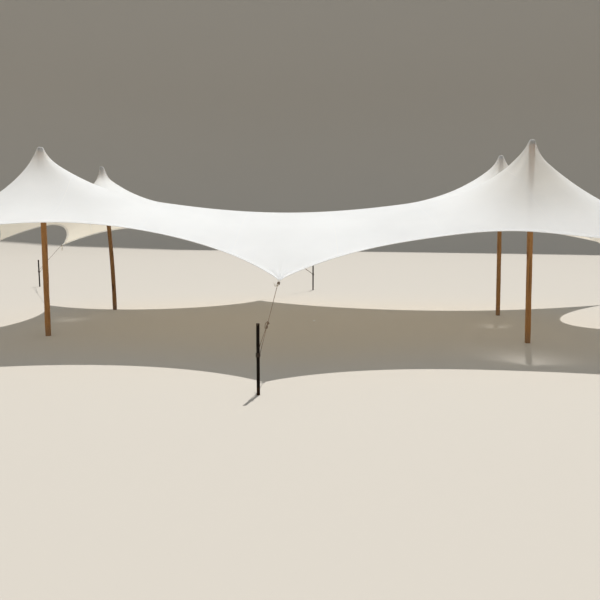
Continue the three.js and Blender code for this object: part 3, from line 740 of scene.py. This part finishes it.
def rope_finish():
    """Laid rope: strands with fibres along them, darkened from their crests into the grooves as painted
    shade, bleached and a little fuzzy on top, soiled where it goes round the stake."""
    material, shader, add, join = finish_of("brown_laid_rope", (0.30, 0.20, 0.12), 0.9, sheen=0.2)
    lay = add("ShaderNodeUVMap", uv_map="lay").outputs["UV"]
    place = add("ShaderNodeTexCoord").outputs["Object"]
    from_crest = worked(add, "PINGPONG", add("ShaderNodeSeparateXYZ", {"Vector": lay}).outputs["X"], 0.5)
    painted_groove_shade = worked(add, "MULTIPLY", from_crest, 2.0)
    fibres = mottled(add, scaled(add, lay, (26.0, 90.0, 1.0)), 1.0, 4.0)
    height = add("ShaderNodeSeparateXYZ", {"Vector": place}).outputs["Z"]
    # Painted shade: the tint darkens from the strands' crests into the grooves between them.
    tint = ramp_of(add, painted_groove_shade, [(0.15, (0.36, 0.25, 0.155)), (0.9, (0.10, 0.062, 0.035))])
    fibre = ramp_of(add, fibres, [(0.3, (0.55, 0.52, 0.50)), (0.7, (1.0, 1.0, 1.0))])
    aged = ramp_of(add, mottled(add, place, 7.0), [(0.35, (0.75, 0.74, 0.72)), (0.7, (1.0, 0.98, 0.94))])
    soiled = ramp_of(add, height, [(0.45, (0.30, 0.27, 0.24)), (0.56, (1.0, 1.0, 1.0))])
    for layer in (fibre, aged, soiled):
        tint = laid_over(add, tint, layer, blend="MULTIPLY")
    join(shader, {"Base Color": tint, "Normal": raised(add, fibres, 0.6, 0.0008)})
    return material


rope_look = rope_finish()
down = np.array([0.0, 0.0, -1.0])
for name, (at, hitch, along, up, across) in tie_frames.items():
    neck = neck_radius + rope_radius
    binding = wound(at + along * binding_from, along, up, across, neck, -2 * math.pi * binding_turns - 0.35,
                    binding_turns, binding_pitch)
    end = binding_from + binding_turns * binding_pitch
    lead = at + np.array([[end + 0.010, neck + 0.0015, 0.001],
                          [end + 0.030, neck + 0.003, 0.0]]) @ np.array([along, up, across])
    taut_from = at + along * (end + 0.060) + up * (neck + 0.003)
    reach = stake_radius + rope_radius + gap
    level = unit(np.array([along[0], along[1], 0.0]))
    side = np.cross(level, -down)
    side *= -np.sign(side @ across)
    coil = wound(hitch - down * wraps * wrap_pitch / 2, down, side, level, reach, 0.0, wraps, wrap_pitch)
    arrive, leave = coil[0, :3], coil[-1, :3]
    slope = unit(taut_from - arrive)
    run = np.linspace(0, 1, 12)[1:-1, None]
    taut = taut_from + (arrive + slope * 0.03 - taut_from) * run
    knot_at = arrive + (taut_from - arrive) * knot_share
    back = unit(knot_at - leave)
    beside = unit(leave - arrive - ((leave - arrive) @ slope) * slope)
    third = np.cross(slope, beside)
    run = np.linspace(0, 1, 8)[1:-1, None]
    knot_radius = 2 * rope_radius + gap
    to = knot_at - slope * 0.020 + beside * (knot_radius + 0.004)
    doubled = leave + back * 0.03 + (to - leave - back * 0.03) * run
    lower = wound(knot_at, slope, beside, third, knot_radius, 0.0, knot_turns, knot_pitch)
    bight = lower[-1, :3] - np.array([[0.014], [0.030], [0.040], [0.030], [0.014]]) * beside \
        + np.array([[0.001], [0.004], [0.013], [0.022], [0.025]]) * slope
    upper = wound(knot_at + slope * (knot_turns * knot_pitch + 0.026), slope, beside, third, knot_radius,
                  math.pi / 2, -4.0, -knot_pitch)
    free = upper[-1, :3] + np.array([[0.012], [0.027], [0.036], [0.040], [0.041]]) * beside \
        + np.array([[0.0], [0.004], [0.015], [0.036], [0.062]]) * down
    route = [binding, facing(lead, up), facing(taut, up), coil, facing(doubled, -beside), lower,
             facing(bight, third), upper, facing(free, third)]
    rope = rope_body(f"laid_rope_{name}", np.concatenate(route))
    rope.data.materials.append(rope_look)
    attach(rope, "root")
    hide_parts(f"guy_rope_{name}")

# Timber posts
# Sawn square from 70 mm softwood and oiled golden brown; each leans as it was set, and the back left one
# is bowed. The arrises are worn lighter and the faces carry saw marks, knots and drying checks.
post_feet = {"front_left": (-3.903, -1.198), "front_right": (3.598, -1.519),
             "back_left": (-3.842, 1.770), "back_right": (3.951, 1.243)}
post_bows = {"front_left": 0.0, "front_right": 0.0, "back_left": 0.039, "back_right": 0.0}  # to the right
post_size, post_arris, post_sides = 0.070, 0.005, 48
worn_off, wave_height, nick_depth = 0.0006, 0.0007, 0.0005
pad_height, seat, half_packed_cloth = 0.062, 0.0003, 0.0015
# Each post's tone scales its wood colours; the lower tones of the two back posts are painted shade.
post_shade_tones = {"front_left": 0.82, "front_right": 0.80, "back_left": 0.47, "back_right": 0.61}


def timber_finish(name, tone):
    """Sawn softwood: growth rings drawn out along the post, darker late wood, knots, fine checks, saw marks
    across, pale worn arrises and a darker damp foot. tone scales all of its colours; the lower tones of the
    back posts are painted shade."""
    light, late = (tuple(c * tone for c in wood) for wood in ((0.64, 0.345, 0.125), (0.33, 0.145, 0.044)))
    between = tuple(0.5 * (a + b) for a, b in zip(light, late))
    pale = (*(min(c * 1.25 * tone, 1.0) for c in (0.70, 0.47, 0.26)), 1.0)
    clear = (1.0, 1.0, 1.0)
    material, shader, add, join = finish_of(name, light, 0.62)
    shader.inputs["Specular IOR Level"].default_value = 0.3
    lay = add("ShaderNodeSeparateXYZ", {"Vector": add("ShaderNodeUVMap", uv_map="lay").outputs["UV"]})
    place = add("ShaderNodeTexCoord").outputs["Object"]
    drawn_out = scaled(add, place, (1.0, 1.0, 0.055))
    rings = add("ShaderNodeTexWave", {"Vector": drawn_out, "Scale": 42.0, "Distortion": 6.0, "Detail": 3.0,
                                      "Detail Scale": 1.6}, wave_type="RINGS", rings_direction="Z")
    grain = worked(add, "MULTIPLY", rings.outputs["Fac"], mottled(add, drawn_out, 14.0, 3.0))
    wood = ramp_of(add, grain, [(0.05, late), (0.30, between), (0.62, light)])
    knots = add("ShaderNodeTexVoronoi", {"Vector": scaled(add, place, (6.0, 6.0, 2.1)), "Scale": 1.0})
    knot = ramp_of(add, knots.outputs["Distance"],
                   [(0.10, (0.30, 0.20, 0.14)), (0.17, (0.62, 0.50, 0.42)), (0.24, clear)])
    cracks = mottled(add, scaled(add, place, (60.0, 60.0, 1.1)), 1.0)
    crack = ramp_of(add, cracks, [(0.30, (0.25, 0.20, 0.16)), (0.34, clear)])
    for layer in (knot, crack):
        wood = laid_over(add, wood, layer, blend="MULTIPLY")
    edge = worked(add, "PINGPONG", lay.outputs["X"], post_size / 2)
    edge = worked(add, "MULTIPLY_ADD", edge, mottled(add, place, 30.0, 3.0), 0.006)
    wood = laid_over(add, wood, pale, ranged(add, edge, 0.0, 1.0, 0.0295, 0.034))
    foot = ranged(add, lay.outputs["Y"], 0.55, 0.0, 0.0, 0.22)
    wood = laid_over(add, wood, (0.20, 0.145, 0.10, 1.0), foot)
    tilted = scaled(add, place, (1.0, 1.0, 1.0), (0.1, 0.15, 0.0))
    saw = add("ShaderNodeTexWave", {"Vector": tilted, "Scale": 60.0, "Distortion": 1.5}, bands_direction="Z")
    height = worked(add, "MULTIPLY_ADD", saw.outputs["Fac"], 0.35, grain)
    height = add("ShaderNodeMix", {0: 0.5, 2: height, 3: cracks}, data_type="FLOAT").outputs[0]
    join(shader, {"Base Color": wood, "Normal": raised(add, height, 0.45, 0.002),
                  "Roughness": ranged(add, grain, 0.72, 0.52)})
    return material


draw = np.random.default_rng(7)
for name, head in post_heads.items():
    foot = np.array([*post_feet[name], 0.0]) - cloth_middle
    top = np.array(head) - cloth_middle - [0, 0, half_packed_cloth + seat + pad_height + seat]
    levels = np.concatenate([[0, 0.002, 0.006], np.linspace(0.03, 0.97, 110) * top[2],
                             top[2] - [0.006, 0.002, 0]])
    share = (levels / top[2])[:, None]
    spine = foot + (top - foot) * share + 4 * np.array([post_bows[name], 0, 0]) * share * (1 - share)
    angle = (np.arange(post_sides) + 0.5) / post_sides * 2 * math.pi
    half = post_size / 2 - worn_off
    square = np.stack([np.cos(angle), np.sin(angle)], axis=-1)
    to_side = abs(square).max(axis=-1, keepdims=True) / half
    to_arris = abs(square).sum(axis=-1, keepdims=True) / (2 * half - post_arris)
    square = square / np.maximum(to_side, to_arris)
    uneven = np.zeros((len(levels), post_sides))
    for n, (height, start, turns, shift) in enumerate(draw.uniform(-1, 1, (5, 4))):
        wave = levels[:, None] * (2.2 + 2.7 * n) + start * 6
        wave = wave + (n + 1) * angle[None, :] * (turns > 0) + shift
        uneven += wave_height * height * np.sin(wave)
    on_arris = abs(abs(square[:, 0]) - abs(square[:, 1])) < 0.012
    nicks = abs(draw.normal(0, nick_depth, (len(levels), post_sides)) * on_arris)
    reach = 1 + (uneven - nicks) / (post_size / 2)
    reach[[0, -1]] *= 0.97
    rings = np.zeros((len(levels), post_sides, 3))
    rings[..., :2] = spine[:, None, :2] + square[None] * reach[..., None]
    rings[..., 2] = levels[:, None]
    around = np.append((angle - angle[0]) / (2 * math.pi), 1.0) * 4 * post_size
    post = surface(f"timber_post_{name}", rings, around=True, ends=True, lay=tube_lay(around, levels))
    post.data.materials.append(timber_finish(f"golden_timber_{name}", post_shade_tones[name]))
    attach(post, "root")
    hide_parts(f"post_{name}")

# Pads on the post heads
# A moulded black rubber pad sits on each post's head and spreads the load where the cloth lies over it.
pad_profile = np.array([  # radius, height
    (0.0005, 0.0), (0.037, 0.0), (0.0405, 0.0015), (0.042, 0.005), (0.042, 0.009), (0.0408, 0.0105),
    (0.0408, 0.0125), (0.042, 0.014), (0.042, 0.0195), (0.0405, 0.023), (0.0385, 0.030), (0.036, 0.038),
    (0.0335, 0.046), (0.0312, 0.0525), (0.0292, 0.0565), (0.0255, 0.0597), (0.020, 0.0615), (0.010, 0.0620),
    (0.0005, 0.0620)])


def rubber_finish():
    """Moulded rubber: near black, dull, faintly mottled, with dust in its grain."""
    material, shader, add, join = finish_of("black_rubber", (0.022, 0.021, 0.020), 0.7)
    mottle = mottled(add, add("ShaderNodeTexCoord").outputs["Object"], 45.0, 5.0)
    tone = ramp_of(add, mottle, [(0.35, (0.016, 0.015, 0.015)), (0.75, (0.055, 0.051, 0.046))])
    join(shader, {"Base Color": tone, "Roughness": ranged(add, mottle, 0.6, 0.9),
                  "Normal": raised(add, mottle, 0.35, 0.0008)})
    return material


rubber_look = rubber_finish()
for name, head in post_heads.items():
    at = np.array(head) - cloth_middle - [0, 0, half_packed_cloth + seat + pad_height]
    angle = np.linspace(0, 2 * math.pi, 65)[:-1]
    radius, level = pad_profile[:, :1], pad_profile[:, 1:]
    rings = at + np.stack([radius * np.cos(angle), radius * np.sin(angle), level + 0 * angle], axis=-1)
    pad = surface(f"rubber_pad_{name}", rings, around=True, ends=True)
    pad.data.materials.append(rubber_look)
    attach(pad, "root")
    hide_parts(f"post_cap_{name}")

# Ground stakes
# Steel stakes as thick as a broom handle, painted black, driven in with a sledge: the head is mushroomed
# and bare, the paint is scuffed where the rope bites and rust and soil mark the foot.
stake_height = 0.765


def stake_finish():
    """Black paint on steel: scuffed to grey metal in streaks and on the struck head, rusty at its foot."""
    paint, steel, rust_brown = (0.009, 0.006, 0.004), (0.075, 0.056, 0.042), (0.050, 0.024, 0.011)
    none, clear = (0.0, 0.0, 0.0), (1.0, 1.0, 1.0)
    material, shader, add, join = finish_of("black_painted_steel", paint, 0.6)
    shader.inputs["Specular IOR Level"].default_value = 0.06
    lay = add("ShaderNodeUVMap", uv_map="lay").outputs["UV"]
    place = add("ShaderNodeTexCoord").outputs["Object"]
    height = add("ShaderNodeSeparateXYZ", {"Vector": lay}).outputs["Y"]
    streaks = mottled(add, scaled(add, place, (60.0, 60.0, 9.0)), 1.0, 5.0, 0.7)
    struck = ranged(add, height, 0.0, 0.35, stake_height - 0.03, stake_height - 0.004)
    bare = ramp_of(add, worked(add, "ADD", streaks, struck), [(0.62, none), (0.72, clear)])
    damp = ranged(add, height, 0.30, 0.0, 0.0, 0.16)
    rust = worked(add, "ADD", mottled(add, place, 26.0, 6.0), damp)
    rusty = ramp_of(add, rust, [(0.60, none), (0.80, (0.8, 0.8, 0.8))])
    tone = laid_over(add, (*paint, 1.0), (*steel, 1.0), bare)
    tone = laid_over(add, tone, (*rust_brown, 1.0), rusty)
    join(shader, {"Base Color": tone, "Normal": raised(add, streaks, 0.35, 0.001),
                  "Roughness": ranged(add, rust, 0.52, 0.90, 0.4, 0.75)})
    return material


stake_look = stake_finish()
head_levels = stake_height - np.array([0.030, 0.020, 0.013, 0.008, 0.005, 0.002, 0.0005, 0, 0])
head_radii = [0.0180, 0.0181, 0.0184, 0.0187, 0.0187, 0.0180, 0.0165, 0.0120, 0.0040]
for k, (name, (*_, stake_at)) in enumerate(ties.items()):
    levels = np.concatenate([[0, 0.004], np.linspace(0.02, 0.72, 60), head_levels])
    radius = np.full(len(levels), stake_radius)
    radius[-9:] = head_radii
    angle = np.linspace(0, 2 * math.pi, 33)[:-1]
    dents = 0.0003 * np.sin(2 * angle[None, :] + 30 * levels[:, None] + k)
    dents = dents * np.sin(17 * levels[:, None] + 2 * k)
    dents[-7:-3] += 0.0008 * (np.cos(5 * angle + k) + np.cos(9 * angle + 2 * k))
    reach = radius[:, None] + dents - 0.0003
    centre = np.array([*stake_at, 0.0]) - cloth_middle
    rings = np.stack([centre[0] + reach * np.cos(angle), centre[1] + reach * np.sin(angle),
                      levels[:, None] + 0 * angle], axis=-1)
    rings[-9:, :, 2] -= np.linspace(0, 0.0006, 9)[:, None] * (1 + np.cos(angle + k))
    around = np.linspace(0, 2 * math.pi * stake_radius, 33)
    stake = surface(f"steel_stake_{name}", rings, around=True, ends=True, lay=tube_lay(around, levels))
    stake.data.materials.append(stake_look)
    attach(stake, "root")
    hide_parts(f"ground_stake_{name}")
